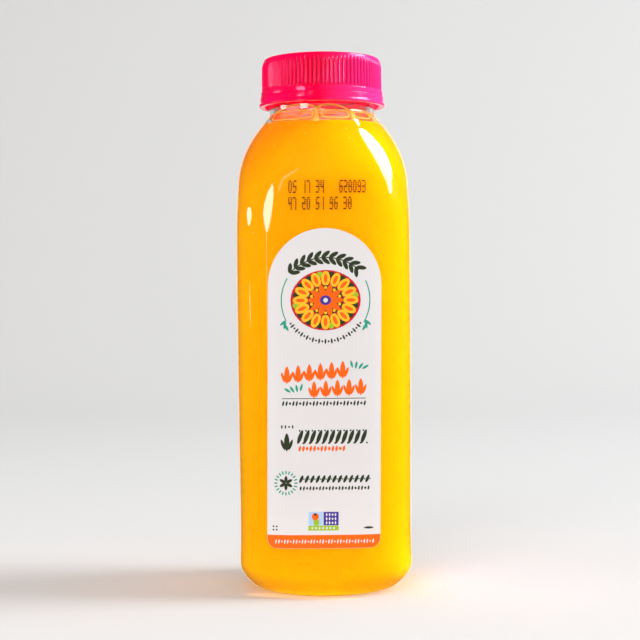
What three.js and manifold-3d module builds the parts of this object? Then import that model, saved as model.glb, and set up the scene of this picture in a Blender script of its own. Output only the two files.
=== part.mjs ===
// A shut bottle of orange juice: a clear rounded-square bottle, the juice in it, a ribbed screw cap,
// the tamper ring under the cap and an arched front label.
// Millimetres, +Z up. The origin is the centre of the ring that the bottle stands on; the label faces -Y.

import * as THREE from 'three';
import { mergeVertices } from 'three/addons/utils/BufferGeometryUtils.js';
import Module from 'manifold-3d';

const wasm = await Module();
wasm.setup();

// Bottle heights
const NECK_TOP_Z = 166.4;
const NECK_ROOT_Z = 150.6;
const SHOULDER_ARC_Z = 128;
const SHOULDER_TAPER_Z = 112;
const BODY_WIDE_Z = 80;
const WAIST_Z = 19;
const HEEL_Z = 8.5;

// Bottle half widths, across the flats of the body and as radii on the round neck and foot
const BODY_HALF = 27.7;
const SHOULDER_ARC_HALF = 27.15;
const MIDDLE_HALF = 27.5;
const WAIST_HALF = 27.25;
const HEEL_HALF = 27.55;
const NECK_R = 17;
const FOOT_OUTER_R = 21.8;
const FOOT_INNER_R = 19.4;

// Bottle curves
const SHOULDER_ARC_RADIUS = 30.7;
const SHOULDER_ARC_START = THREE.MathUtils.degToRad(2);
const SHOULDER_SLOPE = THREE.MathUtils.degToRad(35);
const NECK_FILLET = 1.2;
const PUSH_UP = 3.6;
const PUSH_UP_FLAT_R = 9;
const HEEL_REACH = 1.8;
const HEEL_RISE = 4.5;

// Section of the bottle: |x / half|^n + |y / half|^n = 1, with n = 2 for a circle
const ROUND = 2;
const SQUARE = 3.6;
const SQUARE_ABOVE_Z = 13;
const SQUARE_BELOW_Z = 116;
const BOTTLE_SIDES = 40;

// Walls and the gaps between pieces
const BODY_WALL = 0.7;
const NECK_WALL = 1.4;
const BASE_WALL = 1;
const JUICE_GAP = 0.3;

// Juice level and the bubbles that lie on it against the front of the neck
const FILL_Z = 149.5;
const BUBBLE_DENT = 1.7;
const BUBBLE_BITE = 1.2;
const BUBBLE_SIDES = 16;
const BUBBLES = [
  { turn: -34, radius: 8.2 },
  { turn: 15, radius: 5 },
  { turn: 50, radius: 5.8 },
];

// Screw cap
const CAP_TOP_Z = 168.5;
const CAP_CEILING_Z = 166.8;
const CAP_FOOT_Z = 156.3;
const CAP_LEDGE_Z = 157.9;
const CAP_BORE_R = 17.5;
const CAP_WALL_R = 18.85;
const CAP_COLLAR_R = 19.65;
const CAP_TOP_R = 17.9;
const CAP_EDGE_DROP = 1.2;
const CAP_SIDES = 72;

// Grip ribs round the cap
const RIB_COUNT = 90;
const RIB_TIP_R = 19.35;
const RIB_LOW_Z = 158.1;
const RIB_HIGH_Z = 167.1;
const RIB_TIP_SHARE = 0.4;
const RIB_FOOT_SHARE = 0.8;

// Tamper ring
const RING_LOW_Z = 153.2;
const RING_HIGH_Z = 155.9;
const RING_WALL_R = 19.9;
const RING_LIP_R = 20.3;
const RING_LIP_HEIGHT = 1.1;
const RING_INNER_R = 19;
const RING_FLAP_R = 17.8;
const RING_FLAP_WALL = 0.5;
const RING_SIDES = 60;

// Front label
const LABEL_HALF_WIDTH = 17.3;
const LABEL_LOW_Z = 15.7;
const LABEL_SPRING_Z = 96;
const LABEL_CORNER = 3;
const LABEL_GAP = 0.12;
const LABEL_THICK = 0.3;
const LABEL_CURVE_STEPS = 12;

// Steps along each curve of the bottle's outline
const CURVE_STEPS = { pushUp: 4, heel: 5, body: 5, shoulder: 6, fillet: 2 };

const LOOKS = {
  plastic: { color: 0xf2efe8, roughness: 0.05, metalness: 0 },
  juice: { color: 0xffae05, roughness: 0.3, metalness: 0 },
  pink: { color: 0xf5003c, roughness: 0.35, metalness: 0 },
  paper: { color: 0xeae6e6, roughness: 0.5, metalness: 0 },
};

// The foot's outline from the axis: the domed push-up, the flat ring it stands on and the heel.
function footOutline() {
  const path = new THREE.Path();
  path.moveTo(0, PUSH_UP);
  path.bezierCurveTo(
    PUSH_UP_FLAT_R, PUSH_UP,
    FOOT_INNER_R - 1, PUSH_UP / 3,
    FOOT_INNER_R, 0,
  );
  return path.getPoints(CURVE_STEPS.pushUp);
}

function heelOutline() {
  const path = new THREE.Path();
  path.moveTo(FOOT_OUTER_R, 0);
  path.bezierCurveTo(
    FOOT_OUTER_R + HEEL_REACH, 0,
    HEEL_HALF, HEEL_Z - HEEL_RISE,
    HEEL_HALF, HEEL_Z,
  );
  return path.getPoints(CURVE_STEPS.heel);
}

// The wall's slight waist above the heel and its widest stretch below the shoulder.
function wallOutline() {
  const curve = new THREE.SplineCurve([
    new THREE.Vector2(HEEL_HALF, HEEL_Z),
    new THREE.Vector2(WAIST_HALF, WAIST_Z),
    new THREE.Vector2(MIDDLE_HALF, (WAIST_Z + BODY_WIDE_Z) / 2),
    new THREE.Vector2(BODY_HALF, BODY_WIDE_Z),
    new THREE.Vector2(BODY_HALF, SHOULDER_TAPER_Z),
  ]);
  return curve.getPoints(CURVE_STEPS.body).slice(1);
}

// The shoulder leans in along an arc, runs straight up to the neck and meets it in a small fillet.
function shoulderOutline() {
  const centreR = SHOULDER_ARC_HALF - SHOULDER_ARC_RADIUS * Math.cos(SHOULDER_ARC_START);
  const centreZ = SHOULDER_ARC_Z - SHOULDER_ARC_RADIUS * Math.sin(SHOULDER_ARC_START);
  const arc = new THREE.Path();
  arc.absarc(centreR, centreZ, SHOULDER_ARC_RADIUS, SHOULDER_ARC_START, SHOULDER_SLOPE, false);
  const fillet = new THREE.Path();
  fillet.moveTo(NECK_R + NECK_FILLET * Math.tan(SHOULDER_SLOPE), NECK_ROOT_Z - NECK_FILLET);
  fillet.quadraticCurveTo(NECK_R, NECK_ROOT_Z, NECK_R, NECK_ROOT_Z + NECK_FILLET);
  return [...arc.getPoints(CURVE_STEPS.shoulder), ...fillet.getPoints(CURVE_STEPS.fillet)];
}

// How square the section is at a height: a circle at the foot and the neck, square between them.
function squarenessAt(z) {
  const rising = THREE.MathUtils.smoothstep(z, 0, SQUARE_ABOVE_Z);
  const falling = 1 - THREE.MathUtils.smoothstep(z, SQUARE_BELOW_Z, NECK_ROOT_Z);
  return ROUND + (SQUARE - ROUND) * rising * falling;
}

// The bottle's outer outline as stations { half, z, squareness } from the foot's centre to the mouth.
function outerStations() {
  const foot = footOutline().map((p) => ({ half: p.x, z: p.y, squareness: ROUND }));
  const sides = [...heelOutline(), ...wallOutline(), ...shoulderOutline()];
  sides.push(new THREE.Vector2(NECK_R, NECK_TOP_Z));
  const shell = sides.map((p) => ({ half: p.x, z: p.y, squareness: squarenessAt(p.y) }));
  return [...foot, ...shell];
}

// Stations moved square to the outline by a distance that depends on the station, outwards if positive.
function offsetStations(stations, distanceAt) {
  return stations.map((station, k) => {
    const before = stations[Math.max(k - 1, 0)];
    const after = stations[Math.min(k + 1, stations.length - 1)];
    const along = new THREE.Vector2(after.half - before.half, after.z - before.z).normalize();
    const distance = distanceAt(station);
    const half = station.half === 0 ? 0 : station.half + along.y * distance;
    const lift = station.half === 0 ? 1 : along.x;
    return { half, z: station.z - lift * distance, squareness: station.squareness };
  });
}

// The wall is thick at the neck, thin in the body and a little thicker under the foot.
function wallAt({ half, z }) {
  if (half <= FOOT_OUTER_R && z < HEEL_Z) {
    return BASE_WALL;
  }
  const towardsNeck = THREE.MathUtils.smoothstep(z, SHOULDER_ARC_Z, NECK_ROOT_Z);
  return THREE.MathUtils.lerp(BODY_WALL, NECK_WALL, towardsNeck);
}

function sectionRing({ half, z, squareness }, sides) {
  const power = 2 / squareness;
  return Array.from({ length: sides }, (_, k) => {
    const turn = (2 * Math.PI * k) / sides;
    const x = Math.sign(Math.cos(turn)) * Math.abs(Math.cos(turn)) ** power;
    const y = Math.sign(Math.sin(turn)) * Math.abs(Math.sin(turn)) ** power;
    return [half * x, half * y, z];
  });
}

// A closed skin over stations whose first and last lie on the axis.
function loft(stations, sides) {
  const rings = stations.slice(1, -1).map((station) => sectionRing(station, sides));
  const positions = [[0, 0, stations[0].z], ...rings.flat(), [0, 0, stations.at(-1).z]];
  const firstPole = 0;
  const lastPole = positions.length - 1;
  const at = (ring, k) => 1 + ring * sides + (k % sides);
  const faces = [];
  for (let k = 0; k < sides; k += 1) {
    faces.push([firstPole, at(0, k + 1), at(0, k)]);
    for (let ring = 0; ring + 1 < rings.length; ring += 1) {
      faces.push([at(ring, k), at(ring, k + 1), at(ring + 1, k + 1)]);
      faces.push([at(ring, k), at(ring + 1, k + 1), at(ring + 1, k)]);
    }
    faces.push([lastPole, at(rings.length - 1, k), at(rings.length - 1, k + 1)]);
  }
  const geometry = new THREE.BufferGeometry();
  geometry.setAttribute('position', new THREE.Float32BufferAttribute(positions.flat(), 3));
  geometry.setIndex(faces.flat());
  return geometry;
}

// A profile of [radius, z] points turned about the Z axis.
function turned(profile, sides) {
  const points = profile.map(([radius, z]) => new THREE.Vector2(radius, z));
  return new THREE.LatheGeometry(points, sides).rotateX(Math.PI / 2);
}

function toSolid(geometry) {
  const bare = geometry.clone();
  bare.deleteAttribute('normal');
  bare.deleteAttribute('uv');
  const merged = mergeVertices(bare);
  const corners = Array.from(merged.index.array);
  const kept = [];
  for (let k = 0; k < corners.length; k += 3) {
    const [a, b, c] = corners.slice(k, k + 3);
    if (a !== b && b !== c && c !== a) {
      kept.push(a, b, c);
    }
  }
  return new wasm.Manifold(new wasm.Mesh({
    numProp: 3,
    vertProperties: merged.attributes.position.array,
    triVerts: new Uint32Array(kept),
  }));
}

function toGeometry(solid) {
  const { vertProperties, triVerts } = solid.getMesh();
  const geometry = new THREE.BufferGeometry();
  geometry.setAttribute('position', new THREE.BufferAttribute(vertProperties, 3));
  geometry.setIndex(new THREE.BufferAttribute(triVerts, 1));
  return geometry;
}

// The blown bottle: its outer skin up to the mouth and its inner skin back down to the floor.
function bottleGeometry() {
  const outer = outerStations();
  const inner = offsetStations(outer, (station) => -wallAt(station)).reverse();
  inner[0].z = NECK_TOP_Z;
  return loft([...outer, ...inner], BOTTLE_SIDES);
}

// One bubble: a ball that bites into the neck wall and sinks a little below the juice's surface.
function bubbleGeometry({ turn, radius }) {
  const reach = NECK_R - NECK_WALL - radius + BUBBLE_BITE;
  const angle = THREE.MathUtils.degToRad(turn);
  const ball = new THREE.SphereGeometry(radius, BUBBLE_SIDES, BUBBLE_SIDES / 2);
  return ball.translate(
    reach * Math.sin(angle),
    -reach * Math.cos(angle),
    FILL_Z - BUBBLE_DENT + radius,
  );
}

// The juice: the bottle's inside, a small gap clear of the wall, up to the fill line.
function juiceGeometry() {
  const skin = offsetStations(outerStations(), (station) => -wallAt(station) - JUICE_GAP);
  const below = skin.filter((station) => station.z < FILL_Z);
  const last = below.at(-1);
  const next = skin[below.length];
  const share = (FILL_Z - last.z) / (next.z - last.z);
  const surface = {
    half: THREE.MathUtils.lerp(last.half, next.half, share),
    z: FILL_Z,
    squareness: THREE.MathUtils.lerp(last.squareness, next.squareness, share),
  };
  const full = toSolid(loft([...below, surface, { half: 0, z: FILL_Z }], BOTTLE_SIDES));
  const dented = BUBBLES.reduce((left, bubble) => left.subtract(toSolid(bubbleGeometry(bubble))), full);
  return toGeometry(dented);
}

// The ribs' cross-section: one flat-topped tooth after another round the cap, open in the middle.
function ribOutline() {
  const pitch = (2 * Math.PI) / RIB_COUNT;
  const outline = Array.from({ length: RIB_COUNT }, (_, k) => [
    [CAP_WALL_R, k - RIB_FOOT_SHARE / 2],
    [RIB_TIP_R, k - RIB_TIP_SHARE / 2],
    [RIB_TIP_R, k + RIB_TIP_SHARE / 2],
    [CAP_WALL_R, k + RIB_FOOT_SHARE / 2],
  ]).flat();
  const points = outline.map(([radius, step]) => new THREE.Vector2(
    radius * Math.cos(step * pitch),
    radius * Math.sin(step * pitch),
  ));
  const shape = new THREE.Shape(points);
  const hole = new THREE.Path();
  hole.absarc(0, 0, (CAP_BORE_R + CAP_WALL_R) / 2, 0, 2 * Math.PI, true);
  shape.holes.push(hole);
  return shape;
}

// The screw cap: a turned shell with a plain collar at its foot, and the ribs joined to its side.
function capGeometry() {
  const shell = turned([
    [0, CAP_CEILING_Z],
    [CAP_BORE_R, CAP_CEILING_Z],
    [CAP_BORE_R, CAP_FOOT_Z],
    [CAP_COLLAR_R, CAP_FOOT_Z],
    [CAP_COLLAR_R, CAP_LEDGE_Z],
    [CAP_WALL_R, CAP_LEDGE_Z],
    [CAP_WALL_R, CAP_TOP_Z - CAP_EDGE_DROP],
    [(CAP_WALL_R * 2 + CAP_TOP_R) / 3, CAP_TOP_Z - CAP_EDGE_DROP / 3],
    [CAP_TOP_R, CAP_TOP_Z],
    [0, CAP_TOP_Z],
  ], CAP_SIDES);
  const ribs = new THREE.ExtrudeGeometry(ribOutline(), {
    depth: RIB_HIGH_Z - RIB_LOW_Z,
    bevelEnabled: false,
    curveSegments: CAP_SIDES / 4,
  });
  ribs.translate(0, 0, RIB_LOW_Z);
  return toGeometry(toSolid(shell).add(toSolid(ribs)));
}

// The tamper ring: a low wall with a rolled lip and a flap folded up inside it towards the neck.
function ringGeometry() {
  const flapTop = RING_HIGH_Z - RING_FLAP_WALL;
  const lipTop = RING_LOW_Z + RING_LIP_HEIGHT;
  return turned([
    [RING_INNER_R, RING_LOW_Z],
    [RING_WALL_R, RING_LOW_Z],
    [RING_LIP_R, (RING_LOW_Z + lipTop) / 2],
    [RING_WALL_R, lipTop],
    [RING_WALL_R, RING_HIGH_Z],
    [RING_INNER_R, RING_HIGH_Z],
    [RING_INNER_R, lipTop],
    [RING_FLAP_R + RING_FLAP_WALL, flapTop],
    [RING_FLAP_R, flapTop],
    [RING_INNER_R - RING_FLAP_WALL, RING_LOW_Z + RING_FLAP_WALL / 2],
    [RING_INNER_R, RING_LOW_Z],
  ], RING_SIDES);
}

// The label seen from the front: a round arch over a tall panel with rounded lower corners.
function labelOutline() {
  const shape = new THREE.Shape();
  const corner = LABEL_HALF_WIDTH - LABEL_CORNER;
  const low = LABEL_LOW_Z + LABEL_CORNER;
  shape.absarc(0, LABEL_SPRING_Z, LABEL_HALF_WIDTH, 0, Math.PI, false);
  shape.absarc(-corner, low, LABEL_CORNER, Math.PI, Math.PI * 1.5, false);
  shape.absarc(corner, low, LABEL_CORNER, Math.PI * 1.5, Math.PI * 2, false);
  return shape;
}

// A solid block out to a little beyond the bottle's wall, over the heights that the label spans.
function wallBlock(distance) {
  const wall = outerStations()
    .filter(({ half, z }) => z <= SHOULDER_ARC_Z && half > BODY_HALF - 1)
    .map(({ half, z, squareness }) => ({ half: half + distance, z, squareness }));
  return toSolid(loft([{ half: 0, z: wall[0].z }, ...wall, { half: 0, z: wall.at(-1).z }], BOTTLE_SIDES));
}

// The label: the thin layer between two such blocks, inside its outline.
function labelGeometry() {
  const layer = wallBlock(LABEL_GAP + LABEL_THICK).subtract(wallBlock(LABEL_GAP));
  const cutter = new THREE.ExtrudeGeometry(labelOutline(), {
    depth: BODY_HALF * 2,
    bevelEnabled: false,
    curveSegments: LABEL_CURVE_STEPS,
  });
  cutter.rotateX(Math.PI / 2);
  return toGeometry(layer.intersect(toSolid(cutter)));
}

function mesh(name, geometry, look) {
  const piece = new THREE.Mesh(geometry, new THREE.MeshStandardMaterial(look));
  piece.name = name;
  return piece;
}

const bottleOfJuice = new THREE.Group();
bottleOfJuice.add(
  mesh('bottle', bottleGeometry(), { ...LOOKS.plastic, transparent: true, opacity: 0.3 }),
  mesh('juice', juiceGeometry(), LOOKS.juice),
  mesh('cap', capGeometry(), LOOKS.pink),
  mesh('tamper_ring', ringGeometry(), LOOKS.pink),
  mesh('label', labelGeometry(), LOOKS.paper),
);

export default bottleOfJuice;
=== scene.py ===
import math

import bmesh
import bpy
import numpy as np
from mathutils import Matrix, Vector


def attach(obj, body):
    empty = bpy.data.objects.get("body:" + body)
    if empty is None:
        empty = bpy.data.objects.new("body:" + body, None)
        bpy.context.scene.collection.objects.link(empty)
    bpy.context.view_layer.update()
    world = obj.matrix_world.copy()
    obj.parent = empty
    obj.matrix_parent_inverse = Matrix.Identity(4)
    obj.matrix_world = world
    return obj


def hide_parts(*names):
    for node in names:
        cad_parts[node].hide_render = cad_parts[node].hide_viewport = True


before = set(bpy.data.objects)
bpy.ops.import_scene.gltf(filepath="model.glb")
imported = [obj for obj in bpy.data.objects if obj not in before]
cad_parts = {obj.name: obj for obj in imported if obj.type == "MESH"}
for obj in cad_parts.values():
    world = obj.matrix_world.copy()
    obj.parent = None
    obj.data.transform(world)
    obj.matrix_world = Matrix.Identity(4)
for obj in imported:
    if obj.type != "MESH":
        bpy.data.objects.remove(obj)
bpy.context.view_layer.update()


# The bottle, blown from clear plastic in one piece: a domed base inside a round standing ring, a
# rounded-square body with a slight waist, a leaning shoulder and a round neck. The wall is thin
# in the body and thicker in the neck. All sizes are in millimetres.

MM = 0.001
FOOT_OUTER_R = 21.8
FOOT_INNER_R = 19.4
PUSH_UP = 3.6
PUSH_UP_FLAT_R = 9
HEEL_HALF = 27.55
HEEL_Z = 8.5
HEEL_REACH = 1.8
HEEL_RISE = 4.5
WAIST_HALF = 27.25
WAIST_Z = 19
MIDDLE_HALF = 27.5
BODY_HALF = 27.7
BODY_WIDE_Z = 80
SHOULDER_TAPER_Z = 112
SHOULDER_ARC_Z = 128
SHOULDER_ARC_HALF = 27.15
SHOULDER_ARC_RADIUS = 30.7
SHOULDER_ARC_START = math.radians(2)
SHOULDER_SLOPE = math.radians(35)
NECK_R = 17
NECK_ROOT_Z = 150.6
NECK_FILLET = 1.2
NECK_TOP_Z = 166.4
ROUND = 2
SQUARE = 3.6
SQUARE_ABOVE_Z = 13
SQUARE_BELOW_Z = 116
BODY_WALL = 0.5
NECK_WALL = 1.3
BASE_WALL = 0.9
FOOT_WALL = 1.5
FOOT_WALL_TOP_Z = 6
BASE_STEPS = 24
HEEL_STEPS = 24
BODY_STEPS = 12
SHOULDER_STEPS = 30
FILLET_STEPS = 10
NECK_ROWS = 8
HEEL_TOP_ROW = BASE_STEPS + 1 + HEEL_STEPS
BOTTLE_SIDES = 240


def smoothstep(x, low, high):
    """0 below low, 1 above high, and 3t^2 - 2t^3 between them."""
    t = np.clip((x - low) / (high - low), 0, 1)
    return t * t * (3 - 2 * t)


def bezier(points, steps):
    """The cubic of four points: (1-t)^3, 3t(1-t)^2, 3t^2(1-t) and t^3 are their shares."""
    t = np.linspace(0, 1, steps + 1)[:, None]
    a, b, c, d = np.asarray(points, float)
    return (1 - t) ** 3 * a + 3 * t * (1 - t) ** 2 * b + 3 * t**2 * (1 - t) * c + t**3 * d


def curve_through(points, steps):
    """A cubic between each two points. Its slope at a point is half the way between the neighbours."""
    p = np.asarray(points, float)
    p = np.concatenate([p[:1], p, p[-1:]])
    t = np.linspace(0, 1, steps, endpoint=False)[None, :, None]
    before, start, end, after = (p[k : len(p) - 3 + k, None, :] for k in range(4))
    slope_in, slope_out = (end - before) / 2, (after - start) / 2
    bend = (2 * t**3 - 3 * t**2 + 1) * start + (t**3 - 2 * t**2 + t) * slope_in
    bend = bend + (3 * t**2 - 2 * t**3) * end + (t**3 - t**2) * slope_out
    return np.concatenate([bend.reshape(-1, p.shape[1]), p[-1:]])


def squareness_at(z):
    """2, a circle, at the foot and the neck, and SQUARE in the body, by two smooth steps."""
    rising = smoothstep(z, 0, SQUARE_ABOVE_Z)
    falling = 1 - smoothstep(z, SQUARE_BELOW_Z, NECK_ROOT_Z)
    return ROUND + (SQUARE - ROUND) * rising * falling


def bottle_outline():
    """Rows of half width, height and squareness, from the middle of the base to the mouth: cubics for
    the base and the heel, a curve through the wall's widths, the shoulder's arc, a fillet and the neck."""
    base = bezier(
        [
            (0, PUSH_UP),
            (PUSH_UP_FLAT_R, PUSH_UP),
            (FOOT_INNER_R - 1, PUSH_UP / 3),
            (FOOT_INNER_R, 0),
        ],
        BASE_STEPS,
    )
    heel = bezier(
        [
            (FOOT_OUTER_R, 0),
            (FOOT_OUTER_R + HEEL_REACH, 0),
            (HEEL_HALF, HEEL_Z - HEEL_RISE),
            (HEEL_HALF, HEEL_Z),
        ],
        HEEL_STEPS,
    )
    wall = curve_through(
        [
            (HEEL_HALF, HEEL_Z),
            (WAIST_HALF, WAIST_Z),
            (MIDDLE_HALF, (WAIST_Z + BODY_WIDE_Z) / 2),
            (BODY_HALF, BODY_WIDE_Z),
            (BODY_HALF, SHOULDER_TAPER_Z),
            (SHOULDER_ARC_HALF, SHOULDER_ARC_Z),
        ],
        BODY_STEPS,
    )
    turn = np.linspace(SHOULDER_ARC_START, SHOULDER_SLOPE, SHOULDER_STEPS)
    arc = np.stack(
        [
            SHOULDER_ARC_HALF + SHOULDER_ARC_RADIUS * (np.cos(turn) - math.cos(SHOULDER_ARC_START)),
            SHOULDER_ARC_Z + SHOULDER_ARC_RADIUS * (np.sin(turn) - math.sin(SHOULDER_ARC_START)),
        ],
        axis=1,
    )
    low = (NECK_R + NECK_FILLET * math.tan(SHOULDER_SLOPE), NECK_ROOT_Z - NECK_FILLET)
    corner = (NECK_R, NECK_ROOT_Z)
    fillet = bezier([low, corner, corner, (NECK_R, NECK_ROOT_Z + NECK_FILLET)], FILLET_STEPS)
    neck_z = np.linspace(NECK_ROOT_Z + 2 * NECK_FILLET, NECK_TOP_Z, NECK_ROWS)
    neck = np.stack([np.full(NECK_ROWS, NECK_R), neck_z], axis=1)
    sides = np.concatenate([heel, wall[1:-1], arc, fillet, neck])
    squareness = np.concatenate([np.full(len(base), float(ROUND)), squareness_at(sides[:, 1])])
    return np.column_stack([np.concatenate([base, sides]), squareness])


def offset_outline(outline, distance):
    """The outline moved square to itself, inwards by distance. Its end on the axis moves straight up."""
    along = np.gradient(outline[:, :2], axis=0)
    along[0] = (1, 0)
    along /= np.linalg.norm(along, axis=1, keepdims=True)
    moved = outline.copy()
    moved[:, 0] -= along[:, 1] * distance
    moved[:, 1] += along[:, 0] * distance
    moved[:, 0] = np.maximum(moved[:, 0], 0)
    return moved


def wall_at(outline):
    """The wall's thickness: the body's, with a smooth step up to the neck's at the top and to the
    foot's at the heel, and inside the foot a smooth step down to the base's."""
    half, z = outline[:, 0], outline[:, 1]
    towards_neck = smoothstep(z, SHOULDER_ARC_Z, NECK_ROOT_Z)
    towards_foot = 1 - smoothstep(z, 0, FOOT_WALL_TOP_Z)
    side = BODY_WALL + (NECK_WALL - BODY_WALL) * towards_neck + (FOOT_WALL - BODY_WALL) * towards_foot
    base = BASE_WALL + (FOOT_WALL - BASE_WALL) * smoothstep(half, PUSH_UP_FLAT_R, FOOT_INNER_R)
    return np.where((half <= FOOT_OUTER_R) & (z < HEEL_Z), base, side)


def section_grid(outline, sides):
    """One ring of points for each row of the outline. At the angle a from the middle of a side a ring's
    radius is half / (|cos a|^n + |sin a|^n)^(1/n), with n the row's squareness."""
    a = np.linspace(0, 2 * math.pi, sides, endpoint=False)[None, :]
    half, z, n = (outline[:, k, None] for k in range(3))
    radius = half / (np.abs(np.cos(a)) ** n + np.abs(np.sin(a)) ** n) ** (1 / n)
    return np.stack([radius * np.cos(a), radius * np.sin(a), z + 0 * a], axis=-1)


def quads_of(grid, first):
    """The quads of a grid whose columns close on themselves, turned so that they face outwards."""
    rows, columns = grid.shape[:2]
    r, c = np.meshgrid(np.arange(rows - 1), np.arange(columns), indexing="ij")
    start = r * columns + c
    beside = r * columns + (c + 1) % columns
    quads = np.stack([start, beside, beside + columns, start + columns], axis=-1).reshape(-1, 4)
    points = grid.reshape(-1, 3)
    a, b, c, d = (points[quads[:, k]] for k in range(4))
    volume = np.sum(a * np.cross(b, c)) + np.sum(a * np.cross(c, d))
    return first + (quads if volume > 0 else quads[:, ::-1])


def make_piece(name, grids, crease=40):
    """One object from closed grids in millimetres. Points that coincide, as at a pole, are merged,
    and edges that turn by more than crease degrees stay sharp."""
    firsts = np.cumsum([0] + [grid.shape[0] * grid.shape[1] for grid in grids[:-1]])
    points = np.concatenate([grid.reshape(-1, 3) for grid in grids]) * MM
    quads = np.concatenate([quads_of(grid, first) for grid, first in zip(grids, firsts)])
    mesh = bpy.data.meshes.new(name)
    mesh.from_pydata(points, [], quads)
    work = bmesh.new()
    work.from_mesh(mesh)
    bmesh.ops.remove_doubles(work, verts=work.verts, dist=1e-7)
    work.to_mesh(mesh)
    work.free()
    mesh.polygons.foreach_set("use_smooth", np.ones(len(mesh.polygons), bool))
    mesh.set_sharp_from_angle(angle=math.radians(crease))
    piece = bpy.data.objects.new(name, mesh)
    bpy.context.scene.collection.objects.link(piece)
    return piece


def new_material(name):
    """A material with its Principled shader, and a short way to add a node and to link two sockets."""
    material = bpy.data.materials.new(name)
    material.use_nodes = True
    tree = material.node_tree
    shader = tree.nodes["Principled BSDF"]

    def node(kind, **values):
        made = tree.nodes.new(kind)
        for key, value in values.items():
            socket = made.inputs.get(key)
            if socket is None:
                setattr(made, key, value)
            else:
                socket.default_value = value
        return made

    return material, shader, node, tree.links.new


def set_sockets(shader, **values):
    """Sets sockets by their names, written with _ for each space."""
    for key, value in values.items():
        shader.inputs[key.replace("_", " ")].default_value = value


def fine_relief(node, link, shader, scale, distance, detail=3):
    """Noise on object coordinates, read as a height of up to distance metres."""
    place = node("ShaderNodeTexCoord")
    noise = node("ShaderNodeTexNoise", Scale=scale, Detail=detail)
    bump = node("ShaderNodeBump", Strength=1, Distance=distance)
    link(place.outputs["Object"], noise.inputs["Vector"])
    link(noise.outputs["Fac"], bump.inputs["Height"])
    link(bump.outputs["Normal"], shader.inputs["Normal"])
    return noise


def varied(node, link, source, target, low, high):
    """A number that follows a noise from low to high."""
    spread = node("ShaderNodeMapRange")
    for key, value in (("From Min", 0.3), ("From Max", 0.7), ("To Min", low), ("To Max", high)):
        spread.inputs[key].default_value = value
    link(source, spread.inputs["Value"])
    link(spread.outputs["Result"], target)


def clear_plastic():
    """Clear and glossy, with faint ripples from blowing. Lamps reach what is inside it."""
    material, shader, node, link = new_material("clear_plastic")
    set_sockets(shader, Base_Color=(0.99, 0.985, 0.975, 1), Transmission_Weight=1, IOR=1.5)
    noise = fine_relief(node, link, shader, 45, 0.00002, 1)
    varied(node, link, noise.outputs["Fac"], shader.inputs["Roughness"], 0.01, 0.05)
    path = node("ShaderNodeLightPath")
    through = node("ShaderNodeBsdfTransparent", Color=(0.97, 0.965, 0.95, 1))
    mix = node("ShaderNodeMixShader")
    link(path.outputs["Is Shadow Ray"], mix.inputs[0])
    link(shader.outputs[0], mix.inputs[1])
    link(through.outputs[0], mix.inputs[2])
    output = next(n for n in material.node_tree.nodes if n.type == "OUTPUT_MATERIAL")
    link(mix.outputs[0], output.inputs["Surface"])
    return material


outer = bottle_outline()
inner = offset_outline(outer, wall_at(outer))[::-1]
inner[0, 1] = NECK_TOP_Z
bottle = make_piece("clear_bottle", [section_grid(np.concatenate([outer, inner]), BOTTLE_SIDES)])
bottle.data.materials.append(clear_plastic())
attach(bottle, "root")
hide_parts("bottle")


# The juice, cloudy and orange-yellow. It fills the bottle up into the neck, and its skin reaches
# just into the clear wall, so that no air shows between them.

FILL_Z = 146.9
JUICE_BITE = 0.18
SURFACE_RINGS = 12
JUICE_SHADES = [
    (0.1, (1.0, 0.34, 0.0, 1)),
    (0.4, (1.0, 0.455, 0.0, 1)),
    (0.85, (1.0, 0.475, 0.0, 1)),
]
# Painted shade: the juice's colour moves along its shades by place, redder towards the top and the left of
# the shoulder, yellower to the right.
JUICE_PAINTED_SHADE_TREND = (8, 0, -20)
JUICE_START = 2.92


def shaded(node, link, target, shades, scale, patchy, trend, start):
    """A colour from a ramp of shades, at start + trend times the place + patchy times a noise."""
    place = node("ShaderNodeTexCoord")
    cloud = node("ShaderNodeTexNoise", Scale=scale, Detail=4)
    slope = node("ShaderNodeVectorMath", operation="DOT_PRODUCT")
    slope.inputs[1].default_value = trend
    total = node("ShaderNodeMath", operation="MULTIPLY_ADD")
    total.inputs[1].default_value = patchy
    lifted = node("ShaderNodeMath", operation="ADD")
    lifted.inputs[1].default_value = start
    ramp = node("ShaderNodeValToRGB")
    for _ in shades[2:]:
        ramp.color_ramp.elements.new(0.5)
    for stop, (position, colour) in zip(ramp.color_ramp.elements, shades):
        stop.position = position
        stop.color = colour
    link(place.outputs["Object"], cloud.inputs["Vector"])
    link(place.outputs["Object"], slope.inputs[0])
    link(cloud.outputs["Fac"], total.inputs[0])
    link(slope.outputs["Value"], total.inputs[2])
    link(total.outputs[0], lifted.inputs[0])
    link(lifted.outputs[0], ramp.inputs["Fac"])
    link(ramp.outputs["Color"], target)


def orange_juice():
    """Light travels far in it, red further than green. Its colour is painted redder at the left of the
    shoulder and towards the top, as painted shade under the cap and away from the lamp on the right.
    Cloudy patches vary its shade."""
    material, shader, node, link = new_material("orange_juice")
    set_sockets(shader, Roughness=0.35, Specular_IOR_Level=0, Subsurface_Weight=1)
    set_sockets(shader, Subsurface_Radius=(1.0, 0.6, 0.05), Subsurface_Scale=0.012)
    shaded(node, link, shader.inputs["Base Color"], JUICE_SHADES, 60, 0.3, JUICE_PAINTED_SHADE_TREND, JUICE_START)
    return material


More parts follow.
